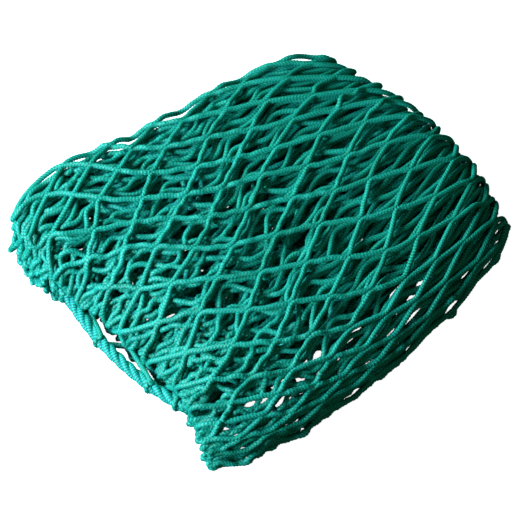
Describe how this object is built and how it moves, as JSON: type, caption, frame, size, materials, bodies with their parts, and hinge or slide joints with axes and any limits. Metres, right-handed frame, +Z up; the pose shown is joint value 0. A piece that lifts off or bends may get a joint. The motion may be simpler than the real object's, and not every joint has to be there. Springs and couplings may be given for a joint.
{
  "type": "folded netting pack",
  "caption": "Folded pack of heavy knotless diamond-mesh netting, with a laid border rope gripped by edge loops along one end.",
  "frame": {"origin": "centre of the pack's footprint, on the surface it lies on", "axes": "+X along the pack, the way the meshes are drawn out, from the roped end to the folded end; +Y across it; +Z up"},
  "size_m": [0.3136, 0.2847, 0.054],
  "materials": {
    "netting": "braided twine",
    "rope": "laid rope"
  },
  "bodies": {
    "root": {"netting_ply_01": "netting", "netting_ply_02": "netting", "netting_ply_03": "netting", "netting_ply_04": "netting", "netting_ply_05": "netting", "netting_ply_06": "netting", "netting_ply_07": "netting", "netting_ply_08": "netting", "netting_ply_09": "netting", "netting_ply_10": "netting", "border_rope": "rope", "edge_loop_1": "netting", "edge_loop_2": "netting", "edge_loop_3": "netting", "edge_loop_4": "netting"}
  },
  "joints": []
}
